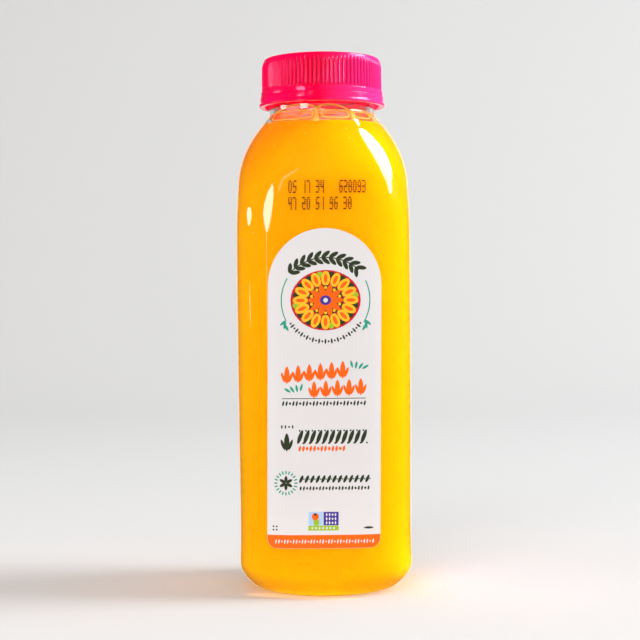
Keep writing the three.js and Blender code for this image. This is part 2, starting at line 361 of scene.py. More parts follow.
skin = offset_outline(outer, wall_at(outer) - JUICE_BITE)
below = skin[skin[:, 1] < FILL_Z]
juice_side = skin[HEEL_TOP_ROW:]
edge_half, edge_squareness = (np.interp(FILL_Z, juice_side[:, 1], juice_side[:, k]) for k in (0, 2))
surface = [(share * edge_half, FILL_Z, edge_squareness) for share in np.linspace(1, 0, SURFACE_RINGS)]
juice = make_piece("orange_juice", [section_grid(np.concatenate([below, surface]), BOTTLE_SIDES)])
juice.data.materials.append(orange_juice())
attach(juice, "root")
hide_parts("juice")


# The froth line in the neck: bubbles held against the wall, each edged by a thread of juice, with
# posts of juice between them and a wavy thread above them, where the wall keeps the juice up.

THREAD_R = 0.3
THREAD_SINK = 0.4
THREAD_SIDES = 12
BUBBLE_POWER = 0.6
BUBBLE_POINTS = 73
BUBBLES = [
    {"turn": -36, "spread": 26, "low": 147.3, "high": 150.6},
    {"turn": 14.5, "spread": 14.5, "low": 147.6, "high": 150.4},
    {"turn": 47, "spread": 11, "low": 147.7, "high": 149.9},
    {"turn": 73, "spread": 6, "low": 147.7, "high": 149.6},
    {"turn": 103, "spread": 12, "low": 147.4, "high": 150.5},
    {"turn": 135, "spread": 14, "low": 147.6, "high": 150.0},
    {"turn": 178, "spread": 20, "low": 147.4, "high": 150.6},
    {"turn": 222, "spread": 16, "low": 147.6, "high": 150.2},
    {"turn": 256, "spread": 11, "low": 147.4, "high": 150.4},
]
POSTS = [
    (-6, 151.4),
    (33, 150.2),
    (63, 149.4),
    (86, 149.6),
    (118, 150.6),
    (155, 150.2),
    (203, 150.9),
    (242, 150.4),
    (273, 149.4),
    (289, 149.0),
]
POST_R = 0.85
POST_FOOT = 0.6
POST_HEAD = 0.9
POST_LEAN = 0.2
POST_POINTS = 20
ARCH_RISE = 2.1
ARCH_SPAN = 55
ARCH_POWER = 0.7
ARCH_POINTS = 24


def bore_at(z):
    """The radius of the bottle's inside at a height in the neck."""
    side = inner[::-1][HEEL_TOP_ROW:]
    return np.interp(z, side[:, 1], side[:, 0])


def thread_grid(turns, heights, radius, closed=True):
    """A tube of juice on the neck's inside, through points given by turn and height. Its section is a
    circle whose middle lies THREAD_SINK of the radius off the wall. An open tube narrows to a point
    at both ends, by the root of 1 - t^6 at t from -1 to 1 of its length."""
    angle = np.radians(turns)
    out = np.stack([np.sin(angle), -np.cos(angle), 0 * angle], axis=1)
    lift = np.stack([0 * heights, 0 * heights, heights], axis=1)
    centre = out * (bore_at(heights) - np.minimum(radius, POST_R) * THREAD_SINK)[:, None] + lift
    along = np.gradient(centre, axis=0)
    size = radius * np.ones(len(turns))
    if closed:
        along[0] = along[-1] = centre[1] - centre[-2]
    else:
        size = radius * np.sqrt(np.maximum(1 - np.linspace(-1, 1, len(turns)) ** 6, 0))
    side = np.cross(along, out)
    side /= np.linalg.norm(side, axis=1, keepdims=True)
    a = np.linspace(0, 2 * math.pi, THREAD_SIDES, endpoint=False)[None, :, None]
    return centre[:, None] + size[:, None, None] * (np.cos(a) * out[:, None] + np.sin(a) * side[:, None])


def bubble_edge(turn, spread, low, high):
    """The thread round a bubble, a rounded rectangle in turn and height: cos and sin of its own
    angle, each to BUBBLE_POWER with its sign kept."""
    t = np.linspace(0, 2 * math.pi, BUBBLE_POINTS)
    across = np.sign(np.cos(t)) * np.abs(np.cos(t)) ** BUBBLE_POWER
    rise = np.sign(np.sin(t)) * np.abs(np.sin(t)) ** BUBBLE_POWER
    return thread_grid(turn + spread * across, (low + high) / 2 + (high - low) / 2 * rise, THREAD_R)


def wave_thread():
    """The thread above the bubbles. At the share t of its way from post to post it rises by ARCH_RISE
    times sin(180 t) to the power ARCH_POWER, and by less where the posts are closer than ARCH_SPAN."""
    all_round = POSTS + [(POSTS[0][0] + 360, POSTS[0][1])]
    turns, heights = [], []
    for (start, foot), (stop, next_foot) in zip(all_round, all_round[1:]):
        t = np.linspace(0, 1, ARCH_POINTS, endpoint=False)
        rise = ARCH_RISE * min((stop - start) / ARCH_SPAN, 1) * np.sin(math.pi * t) ** ARCH_POWER
        turns.append(start + (stop - start) * t)
        heights.append(foot + (next_foot - foot) * t + rise)
    turns.append(all_round[-1][:1])
    heights.append(all_round[-1][1:])
    return thread_grid(np.concatenate(turns), np.concatenate(heights), THREAD_R)


def post_grid(turn, top):
    """A post of juice from the surface up to the wavy thread. At t from 0 to 1 of its height its
    radius is POST_R times 0.8 + 1.3 (1.9 t - 1)^2, so it spreads at both ends."""
    t = np.linspace(0, 1, POST_POINTS)
    heights = FILL_Z - POST_FOOT + (top + POST_HEAD - FILL_Z) * t
    radius = POST_R * (0.8 + 1.3 * (1.9 * t - 1) ** 2)
    return thread_grid(turn + POST_LEAN * t, heights, radius, closed=False)


def wet_juice():
    """A thin wet thread of juice, paler than the juice in the bottle, and a little clear."""
    material, shader, node, link = new_material("juice_thread")
    set_sockets(shader, Base_Color=(1.0, 0.56, 0.1, 1), Transmission_Weight=0.12, IOR=1.34)
    noise = fine_relief(node, link, shader, 300, 0.00002)
    varied(node, link, noise.outputs["Fac"], shader.inputs["Roughness"], 0.05, 0.15)
    return material


threads = [bubble_edge(**bubble) for bubble in BUBBLES] + [wave_thread()]
froth = make_piece("bubble_threads", threads + [post_grid(turn, top) for turn, top in POSTS])
froth.data.materials.append(wet_juice())
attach(froth, "root")


# The film of juice that stays on the inside of the neck, above the froth line, after the bottle has
# been tipped. It is wet and thin, and it clings to the clear plastic.

FILM_LOW_Z = FILL_Z + 0.1
FILM_TOP_Z = 155
FILM_GAP = 0.05
FILM_THICK = 0.04
FILM_SIDES = 120
FILM_ROWS = 12
FILM_SHADES = [(0.3, (1.0, 0.62, 0.48, 1)), (0.7, (1.0, 0.74, 0.62, 1))]


def film_grid():
    """A closed thin shell on the neck's inside, from the surface up, turned round the axis."""
    z = np.linspace(FILM_LOW_Z, FILM_TOP_Z, FILM_ROWS)
    r = bore_at(z) - FILM_GAP
    z = np.concatenate([z, z[::-1], z[:1]])
    r = np.concatenate([r, r[::-1] - FILM_THICK, r[:1]])
    return section_grid(np.column_stack([r, z, np.full(len(z), float(ROUND))]), FILM_SIDES)


def juice_film():
    """What the juice leaves on the wall: a clear film with a salmon tint, streaked by running down."""
    material, shader, node, link = new_material("juice_film")
    set_sockets(shader, Transmission_Weight=1, IOR=1.34, Roughness=0.05)
    shaded(node, link, shader.inputs["Base Color"], FILM_SHADES, 150, 1, (0, 0, 0), 0)
    return material


film_piece = make_piece("juice_film", [film_grid()])
film_piece.data.materials.append(juice_film())
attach(film_piece, "root")


# The pulp specks: fine bubbles and bits of orange pulp that float in the juice and rest against the
# wall, most of them near the shoulder. They lie where chance puts them.

SPECK_COUNT = 90
SPECK_R = (0.08, 0.2)
SPECK_LOW_Z = 30
SPECK_HIGH_Z = 146
SPECK_CROWDING = 2.2
SPECK_DEPTH = 0.5
SPECK_ROWS = 7
SPECK_SIDES = 10


def speck_grid(angle, z, radius):
    """A small ball on the juice's skin, squeezed to SPECK_DEPTH of its depth against the wall."""
    half, n = (np.interp(z, juice_side[:, 1], juice_side[:, k]) for k in (0, 2))
    reach = half / (abs(math.cos(angle)) ** n + abs(math.sin(angle)) ** n) ** (1 / n)
    up = np.linspace(-math.pi / 2, math.pi / 2, SPECK_ROWS)[:, None]
    a = np.linspace(0, 2 * math.pi, SPECK_SIDES, endpoint=False)[None, :]
    out = radius * SPECK_DEPTH * np.cos(up) * np.cos(a)
    sideways = radius * np.cos(up) * np.sin(a)
    x = (reach + out) * math.cos(angle) - sideways * math.sin(angle)
    y = (reach + out) * math.sin(angle) + sideways * math.cos(angle)
    return np.stack([x, y, z + radius * np.sin(up) + 0 * a], axis=-1)


def mottled(node, link, shader, scale, low, high, detail=2):
    """The colour runs from low to high with a noise on object coordinates."""
    place = node("ShaderNodeTexCoord")
    noise = node("ShaderNodeTexNoise", Scale=scale, Detail=detail)
    ramp = node("ShaderNodeValToRGB")
    ramp.color_ramp.elements[0].color = low
    ramp.color_ramp.elements[1].color = high
    link(place.outputs["Object"], noise.inputs["Vector"])
    link(noise.outputs["Fac"], ramp.inputs["Fac"])
    link(ramp.outputs["Color"], shader.inputs["Base Color"])
    return noise


def pale_pulp():
    """Pale, moist bits, some yellower than others."""
    material, shader, node, link = new_material("pale_pulp")
    set_sockets(shader, Specular_IOR_Level=0.2)
    noise = mottled(node, link, shader, 300, (1.0, 0.55, 0.05, 1), (1.0, 0.75, 0.25, 1))
    varied(node, link, noise.outputs["Fac"], shader.inputs["Roughness"], 0.3, 0.5)
    return material


dice = np.random.default_rng(7)
depths = dice.random(SPECK_COUNT) ** SPECK_CROWDING
speck_heights = SPECK_HIGH_Z - (SPECK_HIGH_Z - SPECK_LOW_Z) * depths
specks = make_piece(
    "pulp_specks",
    [speck_grid(dice.uniform(-math.pi, math.pi), z, dice.uniform(*SPECK_R)) for z in speck_heights],
)
specks.data.materials.append(pale_pulp())
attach(specks, "root")


# The label, one piece of white film on the front wall, with an arched top and rounded lower
# corners. It is glued flat, so it follows the wall's curve.

LABEL_HALF = 17.3
LABEL_LOW_Z = 15.7
LABEL_SPRING_Z = 96
LABEL_CORNER = 3
LABEL_LIFT = 0.1
LABEL_THICK = 0.1
LABEL_LEAN = 0.0125
LABEL_MIDDLE_Z = 74
LABEL_ROWS = 160
LABEL_COLUMNS = 40


def wall_front(across, height, lift):
    """How far the wall's front stands from the axis: h (1 - |x/h|^n)^(1/n), with h the half width
    plus lift and n the squareness at that height."""
    side = outer[HEEL_TOP_ROW:]
    h = np.interp(height, side[:, 1], side[:, 0]) + lift
    n = np.interp(height, side[:, 1], side[:, 2])
    return h * (1 - np.abs(across / h) ** n) ** (1 / n)


def sheet_grid(across, height, lift, thick):
    """A closed thin sheet on the front wall. across and height are grids of points: its outer face
    lies lift + thick from the wall, its back lift from it, and its end rows close on themselves. The
    label, its print and the date stamp are a little askew: they move sideways by LABEL_LEAN times
    their height above LABEL_MIDDLE_Z."""
    across = across + LABEL_LEAN * (height - LABEL_MIDDLE_Z)
    across = np.concatenate([across, across[:, ::-1]], axis=1)
    height = np.concatenate([height, height[:, ::-1]], axis=1)
    columns = across.shape[1] // 2
    lifts = np.repeat([lift + thick, lift], columns)[None, :]
    grid = np.stack([across, -wall_front(across, height, lifts), height], axis=-1)
    first = np.repeat(grid[:1].mean(axis=1, keepdims=True), 2 * columns, axis=1)
    last = np.repeat(grid[-1:].mean(axis=1, keepdims=True), 2 * columns, axis=1)
    return np.concatenate([first, grid, last])


def label_half_at(z):
    """Half the label's width, with a half circle above the spring line and a quarter circle at each
    lower corner."""
    arch = np.sqrt(np.maximum(LABEL_HALF**2 - np.maximum(z - LABEL_SPRING_Z, 0) ** 2, 0))
    sunk = np.maximum(LABEL_LOW_Z + LABEL_CORNER - z, 0)
    corner = LABEL_CORNER - np.sqrt(np.maximum(LABEL_CORNER**2 - sunk**2, 0))
    return arch - corner


def label_strip(low, high, inset, rows, columns):
    """A grid over the label between two heights, closer at both ends, inset from its sides."""
    t = (1 - np.cos(np.linspace(0, math.pi, rows))) / 2
    height = (low + (high - low) * t)[:, None] + np.zeros((1, columns))
    half = np.maximum(label_half_at(height) - inset, 0.02)
    return half * np.linspace(-1, 1, columns)[None, :], height


def label_film():
    """White film with a satin face and a very fine grain."""
    material, shader, node, link = new_material("label_film")
    set_sockets(shader, Specular_IOR_Level=0.25)
    noise = fine_relief(node, link, shader, 900, 0.000008)
    varied(node, link, noise.outputs["Fac"], shader.inputs["Roughness"], 0.42, 0.55)
    mottled(node, link, shader, 35, (0.68, 0.65, 0.655, 1), (0.72, 0.69, 0.695, 1))
    return material


arch_top = LABEL_SPRING_Z + LABEL_HALF
whole = label_strip(LABEL_LOW_Z, arch_top, 0, LABEL_ROWS, LABEL_COLUMNS)
label = make_piece("label_film", [sheet_grid(*whole, LABEL_LIFT, LABEL_THICK)])
label.data.materials.append(label_film())
label.visible_shadow = False
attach(label, "root")
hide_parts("label")


# The print on the label: thin films of ink in flat colours, one piece for each ink. It is a generic
# ornament: a rosette under a wreath, rows of flames, chains of leaves and an orange foot band.

INK_LIFT = LABEL_LIFT + LABEL_THICK
INK_THICK = 0.02
INKS = {
    "orange": (0.92, 0.125, 0.0, 1),
    "red": (0.62, 0.01, 0.025, 1),
    "yellow": (0.92, 0.5, 0.015, 1),
    "lime": (0.33, 0.5, 0.02, 1),
    "teal": (0.015, 0.33, 0.22, 1),
    "dark": (0.028, 0.04, 0.014, 1),
    "blue": (0.4, 0.58, 0.85, 1),
    "purple": (0.06, 0.035, 0.3, 1),
    "white": (0.72, 0.69, 0.69, 1),
}
patches = {colour: [] for colour in INKS}


def spread(x, z, turn, across, along):
    """Points of a patch's own frame, turned by turn degrees and moved to x, z on the label."""
    c, s = math.cos(math.radians(turn)), math.sin(math.radians(turn))
    return x + c * across - s * along, z + s * across + c * along


def leaf(colour, x, z, width, length, turn=0, blunt=0.5, rows=9, layer=0):
    """A patch as wide as width times (1 - t^2) to the power blunt at t from -1 to 1 of its length.
    The power 0.5 is an ellipse, 1 a pointed leaf and 0.1 nearly a rectangle."""
    t = -np.cos(np.linspace(0.04, math.pi - 0.04, rows))
    half = width / 2 * np.maximum(1 - t**2, 1e-4) ** blunt
    across = half[:, None] * np.linspace(-1, 1, 3)[None, :]
    along = t[:, None] * length / 2 + np.zeros((1, 3))
    patches[colour].append((*spread(x, z, turn, across, along), layer))


def bar(colour, x, z, width, height, turn=0, layer=0):
    """A rectangle, with a row of points for each 1.5 mm of its longer side."""
    columns = 2 + int(width / 1.5)
    rows = 2 + int(height / 1.5)
    across = np.linspace(-width / 2, width / 2, columns)[None, :] + np.zeros((rows, 1))
    along = np.linspace(-height / 2, height / 2, rows)[:, None] + np.zeros((1, columns))
    patches[colour].append((*spread(x, z, turn, across, along), layer))


def arc(colour, x, z, radius, width, start, end, squash=1, layer=0):
    """A band of a ring between two angles, counted from +x towards +z."""
    a = np.radians(np.linspace(start, end, 3 + int(abs(end - start) / 8)))[:, None]
    r = radius + width * np.array([[0.5, 0, -0.5]])
    patches[colour].append((x + r * np.cos(a), z + squash * r * np.sin(a), layer))


def disc(colour, x, z, radius, squash=1, layer=0):
    """A filled ellipse, its rows closer together at both ends."""
    t = -np.cos(np.linspace(0.03, math.pi - 0.03, 9 + int(radius)))[:, None]
    columns = 3 + int(radius)
    across = radius * np.sqrt(1 - t**2) * np.linspace(-1, 1, columns)[None, :]
    patches[colour].append((x + across, z + squash * radius * t + 0 * across, layer))


def around(count, radius, start=0, end=360, squash=1):
    """Angles and places of count points evenly along an arc."""
    for a in np.linspace(start, end, count, endpoint=abs(end - start) < 360):
        yield a, radius * math.cos(math.radians(a)), squash * radius * math.sin(math.radians(a))


ROSE_X = 0.3
ROSE_Z = 91.4
ROSE_R = 10.7
ROSE_SQUASH = 0.86
disc("red", ROSE_X, ROSE_Z, ROSE_R, ROSE_SQUASH)
for a, x, z in around(16, ROSE_R * 0.86, 11, 371, ROSE_SQUASH):
    disc("lime" if round(a) % 2 else "dark", ROSE_X + x, ROSE_Z + z, 0.95, layer=1)
for a, x, z in around(16, ROSE_R * 0.72, 0, 360, ROSE_SQUASH):
    leaf("yellow", ROSE_X + x, ROSE_Z + z, 2.7, 4.6, a - 90, 0.5, layer=2)
    leaf("orange", ROSE_X + x, ROSE_Z + z, 1.1, 2.8, a - 90, 0.5, layer=3)
disc("dark", ROSE_X, ROSE_Z, ROSE_R * 0.5, ROSE_SQUASH, layer=4)
for a, x, z in around(10, ROSE_R * 0.3, 0, 360, ROSE_SQUASH):
    leaf("orange", ROSE_X + x, ROSE_Z + z, 1.9, 4.4, a - 90, 0.6, layer=5)
for a, x, z in around(10, ROSE_R * 0.42, 18, 378, ROSE_SQUASH):
    disc("yellow", ROSE_X + x, ROSE_Z + z, 0.45, layer=5)
disc("purple", ROSE_X, ROSE_Z, 1.7, ROSE_SQUASH, layer=6)
disc("white", ROSE_X, ROSE_Z, 0.7, layer=7)

WREATH_R = 14.0
arc("dark", ROSE_X, ROSE_Z + 0.4, WREATH_R, 0.4, 44, 140, 0.9)
for way in (-1, 1):
    for a, x, z in around(11, WREATH_R + 1.1 * way, 44, 136, 0.9):
        leaf("dark", ROSE_X + x, ROSE_Z + z + 0.4, 1.3, 3.2, a + 38 * way, 0.6)
for side, start in ((-1, 150), (1, -30)):
    arc("teal", ROSE_X, ROSE_Z, 13.5, 0.35, start, start + 56)
    for step in range(3):
        turn = side * (50 - 40 * step)
        leaf("teal", ROSE_X + side * (12.9 - 0.5 * step), ROSE_Z - 6.8 - 0.7 * step, 0.8, 2.6, turn, 0.8)
for k, (a, x, z) in enumerate(around(27, 12.8, 214, 326, 0.98)):
    leaf("dark", ROSE_X + x, ROSE_Z + z, 0.6, 1.7 if k % 2 else 0.7, a - 90, 0.8)


def flame(colour, x, z, tall):
    """Three pointed leaves on one foot: an upright one and two that lean outwards."""
    leaf(colour, x, z, 0.3 * tall, tall, 0, 0.75)
    for way in (-1, 1):
        leaf(colour, x - 0.21 * tall * way, z - 0.14 * tall, 0.17 * tall, 0.62 * tall, 20 * way, 0.7)


def chain(colour, count, x, z, step, width, tall, turn=0, layer=0):
    """A row of pointed leaves that lean to one side, with a small disc after each two."""
    for k in range(count):
        if k % 3 == 2:
            disc(colour, x + k * step, z, 0.55 * width, 1.2, layer)
        else:
            leaf(colour, x + k * step, z, width, tall, -turn, 0.75, 7, layer)


for k in range(6):
    flame("orange", -11.4 + k * 3.4, 68.7 + 0.3 * k, 5.4)
for k in range(5):
    flame("orange", -3.1 + k * 3.55, 64.2 + 0.2 * k, 5.2)
for x, z, way in ((-9.6, 64.0, 1), (10.9, 71.0, -1)):
    for step in range(4):
        leaf("teal", x + way * (1.4 * step - 1.6), z + 0.3 * step, 0.75, 2.4, way * (60 - 25 * step), 0.8)

RULE_Z = 61.5
bar("dark", -0.1, RULE_Z, 25.6, 0.22)
chain("dark", 25, -12.5, RULE_Z - 1.5, 1.035, 0.62, 1.7, 12)

WORD_Z = 49.8
flame("dark", -11.4, WORD_Z - 1.6, 5.6)
chain("dark", 4, -12.9, WORD_Z + 3.1, 1.1, 0.5, 1.2)
for k in range(11):
    leaf("dark", -7.3 + k * 1.94, WORD_Z, 1.25, 4.6, -20, 0.6)
    for way in (-1, 1):
        disc("dark", -6.9 + k * 1.94 - 0.55 * way, WORD_Z + 1.9 * way, 0.28, layer=1)
chain("orange", 13, -7.4, WORD_Z - 3.6, 1.12, 0.8, 1.9, 10)

SUN_X = -11.6
SUN_Z = 35.7
for a, x, z in around(6, 1.15, 30, 390):
    leaf("dark", SUN_X + x, SUN_Z + z, 1.0, 2.1, a - 90, 0.6)
for k, (a, x, z) in enumerate(around(20, 3.1, 0, 360, 1.05)):
    leaf("teal", SUN_X + x, SUN_Z + z, 0.45, 1.2, a - 90, 0.6)
for k in range(13):
    leaf("dark", -6.9 + k * 1.68, SUN_Z + 1.2, 0.95, 2.6, -24, 0.6)
    disc("dark", -6.1 + k * 1.68, SUN_Z + 1.2, 0.22)
chain("dark", 22, -7.1, SUN_Z - 1.6, 0.985, 0.6, 1.4, 10)

TILE_Z = 24.8
bar("blue", -2.5, TILE_Z, 4.3, 4.1)
bar("purple", 2.2, TILE_Z, 4.6, 4.1)
bar("lime", -0.1, TILE_Z - 2.9, 9.2, 1.5)
leaf("lime", -2.3, TILE_Z - 1.1, 1.8, 2.4, 0, 0.5, layer=1)
disc("orange", -2.6, TILE_Z + 0.6, 1.1, layer=2)
disc("dark", -2.6, TILE_Z + 1.3, 0.4, layer=3)
for row in range(3):
    chain("white", 4, 0.85, TILE_Z + 1.2 - row * 1.25, 0.9, 0.5, 0.95, 0, layer=1)
for k in range(7):
    disc("white", -3.5 + k * 1.1, TILE_Z - 2.9, 0.28, 1.4, layer=1)
for a, x, z in around(4, 0.7, 45, 405):
    disc("dark", -14.9 + x, 21.9 + z, 0.28)
leaf("dark", 13.7, 21.9, 0.7, 3.2, 90, 0.8)

BAND_TOP_Z = 19.8
BAND_INSET = 0.05
BAND_ROWS = 16
BAND_COLUMNS = 24
band = label_strip(LABEL_LOW_Z + BAND_INSET, BAND_TOP_Z, BAND_INSET, BAND_ROWS, BAND_COLUMNS)
patches["orange"].append((*band, 0))
chain("white", 34, -14.6, 17.8, 0.9, 0.42, 1.45, 9, layer=1)


def printing_ink(colour):
    """Ink in one flat colour, thinner in places, so that its shade and its gloss vary a little."""
    material, shader, node, link = new_material(f"ink_{colour}")
    set_sockets(shader, Specular_IOR_Level=0.12)
    noise = fine_relief(node, link, shader, 900, 0.000008)
    varied(node, link, noise.outputs["Fac"], shader.inputs["Roughness"], 0.38, 0.5)
    thin = [0.9 * share + 0.012 for share in INKS[colour][:3]] + [1]
    mottled(node, link, shader, 1500, INKS[colour], thin)
    return material


for colour, drawn in patches.items():
    sheets = [sheet_grid(x, z, INK_LIFT + layer * INK_THICK, INK_THICK) for x, z, layer in drawn]
    print_piece = make_piece(f"print_{colour}", sheets)
    print_piece.data.materials.append(printing_ink(colour))
    print_piece.visible_shadow = False
    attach(print_piece, "root")


# The date stamp above the label: rows of plain digits in brown-black ink, jetted straight onto the
# bottle's wall as small dots.

DOT_R = 0.2
DOT_TALL = 1.15
DOT_ACROSS = 0.25
DOT_UP = 0.57
DOT_LIFT = -0.01
DOT_THICK = 0.03
DIGIT_STEP = 1.4
OUTER_CORNERS = {(0, 0): "de", (3, 0): "cd", (0, 6): "af", (3, 6): "ab"}
STAMP_ROWS = [("05 17 34", -11.0, 124.3), ("628093", 4.5, 124.3), ("47 20 51 96 38", -11.0, 119.2)]
LIT_SEGMENTS = ["abcdef", "bc", "abged", "abgcd", "fgbc", "afgcd", "afgedc", "abc", "abcdefg", "abcdfg"]
SEGMENTS = dict(zip("0123456789", LIT_SEGMENTS))
SEGMENT_DOTS = {
    "a": [(k, 6) for k in range(4)],
    "b": [(3, k) for k in range(3, 7)],
    "c": [(3, k) for k in range(4)],
    "d": [(k, 0) for k in range(4)],
    "e": [(0, k) for k in range(4)],
    "f": [(0, k) for k in range(3, 7)],
    "g": [(k, 3) for k in range(4)],
}


def stamp_dots():
    """The places of the dots: each digit is lit as on a seven-segment display, four dots wide and
    seven high, and a corner where two lit segments meet is left out."""
    for digits, x, z in STAMP_ROWS:
        for place, digit in enumerate(digits):
            segments = SEGMENTS.get(digit, "")
            lit = {dot for segment in segments for dot in SEGMENT_DOTS[segment]}
            lit -= {dot for dot, pair in OUTER_CORNERS.items() if set(pair) <= set(segments)}
            for column, row in sorted(lit):
                yield x + place * DIGIT_STEP + column * DOT_ACROSS, z + row * DOT_UP


def dot_sheet(x, z):
    """A dot of ink on the bottle's wall, DOT_TALL times as high as wide, as rows of chords."""
    t = -np.cos(np.linspace(0.1, math.pi - 0.1, 6))[:, None]
    across = x + DOT_R * np.sqrt(1 - t**2) * np.array([[-1, 1]])
    return sheet_grid(across, z + DOT_R * DOT_TALL * t + 0 * across, DOT_LIFT, DOT_THICK)


def stamp_ink():
    """Brown-black solvent ink, with an uneven shade from dot to dot."""
    material, shader, node, link = new_material("stamp_ink")
    set_sockets(shader, Specular_IOR_Level=0.15)
    noise = mottled(node, link, shader, 900, (0.03, 0.004, 0.0, 1), (0.12, 0.02, 0.0, 1), 1)
    varied(node, link, noise.outputs["Fac"], shader.inputs["Roughness"], 0.4, 0.6)
    return material


stamp = make_piece("date_stamp", [dot_sheet(x, z) for x, z in stamp_dots()])
stamp.data.materials.append(stamp_ink())
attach(stamp, "root")


# The screw cap, moulded in pink plastic: a flat top with a rounded edge, fine grip ribs all round,
# and a plain collar below a small ledge. It is screwed down over the neck.

CAP_TOP_Z = 168.5
CAP_CEILING_Z = 166.8
CAP_FOOT_Z = 156.3
CAP_LEDGE_Z = 157.9
CAP_BORE_R = 17.5
CAP_SKIRT_R = 18
CAP_WALL_R = 18.85
CAP_COLLAR_R = 19.65
CAP_EDGE_R = 1.1
RIB_COUNT = 90
RIB_HEIGHT = 0.4
RIB_LOW_Z = 158.05
RIB_LOW_FULL_Z = 158.4
RIB_HIGH_FULL_Z = 165.9
RIB_HIGH_Z = 167.6
RIB_POINTS = 10
CAP_WALL_STEP = 0.5
CAP_FLAT_STEP = 4
# The cap's shades: patchy, with the magenta one laid on towards the right by the trend below, as painted
# sheen where the key lamp falls.
PINK_SHADES = [
    (0.1, (0.95, 0.0, 0.09, 1)),
    (0.4, (0.92, 0.0, 0.05, 1)),
    (0.8, (0.95, 0.05, 0.34, 1)),
]
PINK_PAINTED_SHEEN_TREND = (20, 0, 0)
PINK_START = 0.35
# Painted shade: the colour that the cap's base colour is multiplied by between the ribs.
PAINTED_GROOVE_SHADE = (0.68, 0.15, 0.45)


def rounded(corners, steps=5):
    """The outline of [radius, height, fillet] corners, each fillet an arc between its two sides."""
    points = []
    data = np.asarray(corners, float)
    for k, (r, z, fillet) in enumerate(data):
        here = np.array([r, z])
        if fillet == 0 or k in (0, len(data) - 1):
            points.append(here[None])
            continue
        back = data[k - 1, :2] - here
        on = data[k + 1, :2] - here
        start = here + back / np.linalg.norm(back) * fillet
        end = here + on / np.linalg.norm(on) * fillet
        t = np.linspace(0, 1, steps + 1)[:, None]
        points.append((1 - t) ** 2 * start + 2 * t * (1 - t) * here + t**2 * end)
    return np.concatenate(points)


def subdivided(outline, longest):
    """The same outline with extra points, so that no step is longer than its own value in longest."""
    steps = np.ceil(np.linalg.norm(np.diff(outline, axis=0), axis=1) / longest).astype(int)
    stretches = [k + np.arange(max(n, 1)) / max(n, 1) for k, n in enumerate(steps)]
    where = np.concatenate(stretches + [[len(steps)]])
    index = np.arange(len(outline))
    return np.stack([np.interp(where, index, outline[:, k]) for k in range(2)], axis=1)


def rib_mask(z):
    """1 along the ribs and 0 above and below them, with a smooth step at both ends."""
    return smoothstep(z, RIB_LOW_Z, RIB_LOW_FULL_Z) * (1 - smoothstep(z, RIB_HIGH_FULL_Z, RIB_HIGH_Z))


def cap_grid():
    """The cap's outline turned round the axis. Outside CAP_SKIRT_R the ribs add to the radius:
    RIB_HEIGHT times the rib's own hump, (1 + cos) / 2, times rib_mask."""
    outline = rounded(
        [
            (0, CAP_CEILING_Z, 0),
            (CAP_BORE_R, CAP_CEILING_Z, 0.5),
            (CAP_BORE_R, CAP_FOOT_Z, 0.2),
            (CAP_COLLAR_R, CAP_FOOT_Z, 0.15),
            (CAP_COLLAR_R - 0.03, CAP_LEDGE_Z, 0.2),
            (CAP_WALL_R, CAP_LEDGE_Z + 0.12, 0.1),
            (CAP_WALL_R - 0.1, CAP_TOP_Z, CAP_EDGE_R),
            (0, CAP_TOP_Z, 0),
        ]
    )
    outline = subdivided(outline, np.where(outline[1:, 0] > CAP_SKIRT_R, CAP_WALL_STEP, CAP_FLAT_STEP))
    a = np.linspace(0, 2 * math.pi, RIB_COUNT * RIB_POINTS, endpoint=False)[None, :]
    hump = (1 + np.cos(RIB_COUNT * a)) / 2
    r, z = outline[:, :1], outline[:, 1:]
    r = r + RIB_HEIGHT * hump * rib_mask(z) * (r > CAP_SKIRT_R)
    return np.stack([r * np.cos(a), r * np.sin(a), z + 0 * a], axis=-1)


def mark_painted_groove_shade(mesh):
    """A point attribute for the painted shade between the ribs: (1 - cos) / 2 times rib_mask, 1 between
    two ribs and 0 on their crests.
    """
    points = np.empty(3 * len(mesh.vertices), np.float32)
    mesh.vertices.foreach_get("co", points)
    x, y, z = points.reshape(-1, 3).T / MM
    valley = (1 - np.cos(RIB_COUNT * np.arctan2(y, x))) / 2
    depth = valley * rib_mask(z) * (np.hypot(x, y) > CAP_SKIRT_R)
    mesh.attributes.new("groove_shade_mask", "FLOAT", "POINT").data.foreach_set("value", depth.astype(np.float32))


def pink_plastic():
    """Moulded plastic, hot pink with a little light inside it, glossy with faint flow marks. Its colour is
    patchy, and is painted magenta towards the right as a painted sheen, where the key lamp falls. The
    grooves between the ribs are painted a deeper, darker pink: painted shade, for light that is thrown to
    and fro between the ribs."""
    material, shader, node, link = new_material("pink_plastic")
    set_sockets(shader, Subsurface_Weight=0.35, Subsurface_Scale=0.001)
    set_sockets(shader, Subsurface_Radius=(1.0, 0.04, 0.12))
    set_sockets(shader, Specular_IOR_Level=0.35, Specular_Tint=(1.0, 0.55, 0.9, 1))
    noise = fine_relief(node, link, shader, 700, 0.000012)
    varied(node, link, noise.outputs["Fac"], shader.inputs["Roughness"], 0.07, 0.13)
    # Painted shade: the base colour is multiplied towards the darker tint between the ribs.
    groove_shade_mask = node("ShaderNodeAttribute", attribute_name="groove_shade_mask")
    tint = node("ShaderNodeVectorMath", operation="MULTIPLY_ADD")
    tint.inputs[1].default_value = [share - 1 for share in PAINTED_GROOVE_SHADE]
    tint.inputs[2].default_value = (1, 1, 1)
    tinted = node("ShaderNodeVectorMath", operation="MULTIPLY")
    link(groove_shade_mask.outputs["Fac"], tint.inputs[0])
    link(tint.outputs[0], tinted.inputs[0])
    shaded(node, link, tinted.inputs[1], PINK_SHADES, 90, 0.15, PINK_PAINTED_SHEEN_TREND, PINK_START)
    link(tinted.outputs[0], shader.inputs["Base Color"])
    return material


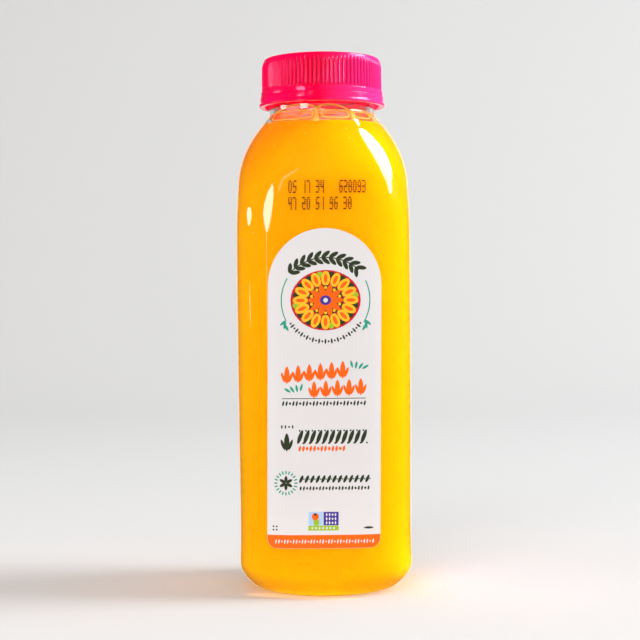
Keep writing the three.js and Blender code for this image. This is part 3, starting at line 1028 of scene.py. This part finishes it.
cap = make_piece("screw_cap", [cap_grid()], crease=60)
mark_painted_groove_shade(cap.data)
cap_pink = pink_plastic()
cap.data.materials.append(cap_pink)
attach(cap, "root")
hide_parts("cap")


# The tamper ring, moulded with the cap and left under it by a fine slit. Its lower lip is rolled
# outwards, and a flap folded up inside it catches the neck.

RING_LOW_Z = 153.2
RING_HIGH_Z = 156.27
RING_WALL_R = 19.9
RING_LIP_R = 20.3
RING_INNER_R = 19
RING_FLAP_R = 17.8
RING_SIDES = 240


def ring_grid():
    """The ring's closed outline turned round the axis, its last row the first one again."""
    outline = rounded(
        [
            (RING_INNER_R - 0.2, RING_LOW_Z, 0),
            (RING_LIP_R - 0.1, RING_LOW_Z, 0.35),
            (RING_LIP_R, RING_LOW_Z + 0.7, 0.35),
            (RING_WALL_R, RING_LOW_Z + 1.1, 0.3),
            (RING_WALL_R - 0.05, RING_HIGH_Z, 0.15),
            (RING_INNER_R, RING_HIGH_Z, 0.1),
            (RING_INNER_R, RING_LOW_Z + 0.8, 0.1),
            (RING_FLAP_R + 0.5, RING_HIGH_Z - 0.5, 0.1),
            (RING_FLAP_R, RING_HIGH_Z - 0.6, 0.1),
            (RING_INNER_R - 0.6, RING_LOW_Z + 0.25, 0.2),
            (RING_INNER_R - 0.2, RING_LOW_Z, 0),
        ]
    )
    a = np.linspace(0, 2 * math.pi, RING_SIDES, endpoint=False)[None, :]
    r, z = outline[:, :1], outline[:, 1:]
    return np.stack([r * np.cos(a), r * np.sin(a), z + 0 * a], axis=-1)


ring = make_piece("tamper_ring", [ring_grid()], crease=60)
ring.data.materials.append(cap_pink)
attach(ring, "root")
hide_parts("tamper_ring")


# The studio: a pale paper sweep that runs from the floor up behind the bottle, a soft key lamp and a
# larger wash of light on the right, and fill from the front and the left. Cards that only shine give
# the bottle its reflections. Sizes here are in metres.

SWEEP_HALF_WIDTH = 4
SWEEP_FRONT_Y = -4
SWEEP_MIDDLE_Y = 0.5
SWEEP_BACK_Y = 1.6
SWEEP_RADIUS = 0.9
SWEEP_HEIGHT = 2.6
SWEEP_STEPS = 24
SWEEP_GREY = (0.64, 0.64, 0.64, 1)
AIM = Vector((0, 0, 0.09))


def paper_sweep():
    """The sweep's line drawn from side to side: the floor, a quarter circle and an upright end."""
    turn = np.linspace(0, math.pi / 2, SWEEP_STEPS)
    bend_y = SWEEP_BACK_Y - SWEEP_RADIUS * (1 - np.sin(turn))
    bend_z = SWEEP_RADIUS * (1 - np.cos(turn))
    y = np.concatenate([[SWEEP_FRONT_Y, SWEEP_MIDDLE_Y], bend_y, [SWEEP_BACK_Y]])
    z = np.concatenate([[0, 0], bend_z, [SWEEP_HEIGHT]])
    left = np.stack([np.full(len(y), -SWEEP_HALF_WIDTH), y, z], axis=1)
    points = np.stack([left, left * (-1, 1, 1)], axis=1).reshape(-1, 3)
    k = np.arange(len(y) - 1) * 2
    mesh = bpy.data.meshes.new("sweep")
    mesh.from_pydata(points, [], np.stack([k, k + 1, k + 3, k + 2], axis=1))
    mesh.polygons.foreach_set("use_smooth", np.ones(len(k), bool))
    return bpy.data.objects.new("sweep", mesh)


def sweep_paper():
    """Matt grey paper."""
    material, shader, node, link = new_material("sweep_paper")
    set_sockets(shader, Base_Color=SWEEP_GREY, Roughness=0.9, Specular_IOR_Level=0.1)
    return material


def lamp(name, azimuth, elevation, distance, width, height, power, colour=(1, 1, 1), roll=0):
    """A flat oval lamp that faces the bottle. Azimuth 0 is the camera's side and 90 the right. Its
    upper end leans by roll degrees, to the left as it looks at the bottle."""
    data = bpy.data.lights.new(name, "AREA")
    data.shape = "ELLIPSE"
    data.size = width
    data.size_y = height
    data.energy = power
    data.color = colour
    turn, up = math.radians(azimuth), math.radians(elevation)
    level = distance * math.cos(up)
    place = AIM + Vector((level * math.sin(turn), -level * math.cos(turn), distance * math.sin(up)))
    light = bpy.data.objects.new(name, data)
    light.location = place
    light.rotation_euler = (AIM - place).to_track_quat("-Z", "Y").to_euler()
    light.rotation_euler.rotate_axis("Z", math.radians(-roll))
    light.visible_camera = False
    bpy.context.scene.collection.objects.link(light)
    return light


sweep = paper_sweep()
bpy.context.scene.collection.objects.link(sweep)
sweep.data.materials.append(sweep_paper())
sweep.visible_glossy = False


def only_lights(light):
    """A lamp that lights surfaces but isn't mirrored in them."""
    light.visible_glossy = False


def only_shines(light):
    """A lamp that is mirrored in glossy surfaces but lights nothing."""
    light.visible_diffuse = False
    light.visible_transmission = False


only_lights(lamp("key", 87, 46, 1.5, 0.5, 0.34, 7.7, (0.93, 0.97, 1.0)))
only_lights(lamp("wall_wash", 94, 25, 3.2, 1.5, 1.5, 64, (0.94, 0.97, 1.0)))
only_lights(lamp("front_fill", -15, 30, 1.7, 1.2, 1.2, 11.6))
only_lights(lamp("left_fill", -70, 12, 1.6, 1.0, 1.0, 5.8))
only_shines(lamp("right_card", 88, 40, 0.9, 0.46, 0.84, 17, roll=36))
only_shines(lamp("left_card", -39, 12, 1.0, 0.3, 0.24, 2.4))
only_shines(lamp("left_glow", -19, 21, 1.0, 0.06, 0.32, 0.12, roll=53))
only_shines(lamp("left_strip", -39.6, 1, 1.0, 0.025, 0.3, 0.06))
only_shines(lamp("side_card", -91, 9, 1.0, 0.34, 0.11, 1.0))
only_shines(lamp("side_spot", -89, -0.5, 1.0, 0.05, 0.05, 0.03))
only_shines(lamp("back_card", 180, 5, 1.5, 1.3, 1.6, 4.4))


def glow(name, place, tilt, turn, width, height, power, colour):
    """A small lamp at the bottle itself, for light that the juice or the wall throws back. It faces
    down, then is tilted up by tilt and turned round the upright by turn degrees."""
    light = lamp(name, 0, 0, 1, width, height, power, colour)
    light.location = place
    light.rotation_euler = (math.radians(tilt), 0, math.radians(turn))
    only_lights(light)
    return light


floor_glows = [
    glow("left_floor", (-0.0285, 0, 0.06), 90, 90, 0.04, 0.1, 0.008, (1.0, 0.25, 0.0)),
    glow("right_floor", (0.0285, 0, 0.05), 90, -90, 0.04, 0.08, 0.011, (0.0, 0.3, 1.0)),
    glow("foot_floor", (-0.008, -0.0222, 0.0009), 0, -15, 0.036, 0.006, 0.0004, (1.0, 0.4, 0.03)),
]
for light in floor_glows:
    light.visible_transmission = False
glow("heel_glow", (0, 0, 0.0008), 180, 0, 0.1, 0.1, 0.024, (1.0, 0.9, 0.75))
corner = glow("corner_glow", (0.034, -0.009, 0.0035), 105, 80, 0.04, 0.005, 0.004, (1.0, 0.95, 0.85))
corner.visible_diffuse = False
glow("neck_glow", (0, 0, 0.1655), 0, 0, 0.026, 0.026, 0.014, (1.0, 0.6, 0.45))


# The room: it lights everything alike and is bright through the clear wall, but it is dim where a
# surface mirrors it, as a room with dark curtains is.

ROOM_COLOUR = (1.0, 0.965, 0.93, 1)
ROOM_LIGHT = 0.68
ROOM_MIRRORED = 0.06

world = bpy.data.worlds.new("room")
world.use_nodes = True
bpy.context.scene.world = world
nodes = world.node_tree.nodes
wire = world.node_tree.links.new
room = nodes["Background"]
room.inputs["Color"].default_value = ROOM_COLOUR
path = nodes.new("ShaderNodeLightPath")
dim = nodes.new("ShaderNodeMapRange")
dim.inputs["To Min"].default_value = ROOM_LIGHT
dim.inputs["To Max"].default_value = ROOM_MIRRORED
mirrored = nodes.new("ShaderNodeMath")
mirrored.operation = "SUBTRACT"
wire(path.outputs["Is Glossy Ray"], mirrored.inputs[0])
wire(path.outputs["Is Transmission Ray"], mirrored.inputs[1])
wire(mirrored.outputs[0], dim.inputs["Value"])
wire(dim.outputs["Result"], room.inputs["Strength"])


# The camera stands in front of the label, almost level with the bottle's middle, and looks down by
# CAMERA_DOWN degrees.

CAMERA_LENS = 84.4
CAMERA_SENSOR = 36
CAMERA_PLACE = (-0.00116, -0.484, 0.093)
CAMERA_DOWN = 0.955
CAMERA_ROLL = 0.53

camera_data = bpy.data.cameras.new("camera")
camera_data.sensor_width = CAMERA_SENSOR
camera_data.lens = CAMERA_LENS
camera = bpy.data.objects.new("camera", camera_data)
camera.location = CAMERA_PLACE
camera.rotation_euler = (math.radians(90 - CAMERA_DOWN), math.radians(CAMERA_ROLL), 0)
bpy.context.scene.collection.objects.link(camera)
bpy.context.scene.camera = camera
bpy.context.scene.view_settings.view_transform = "Standard"
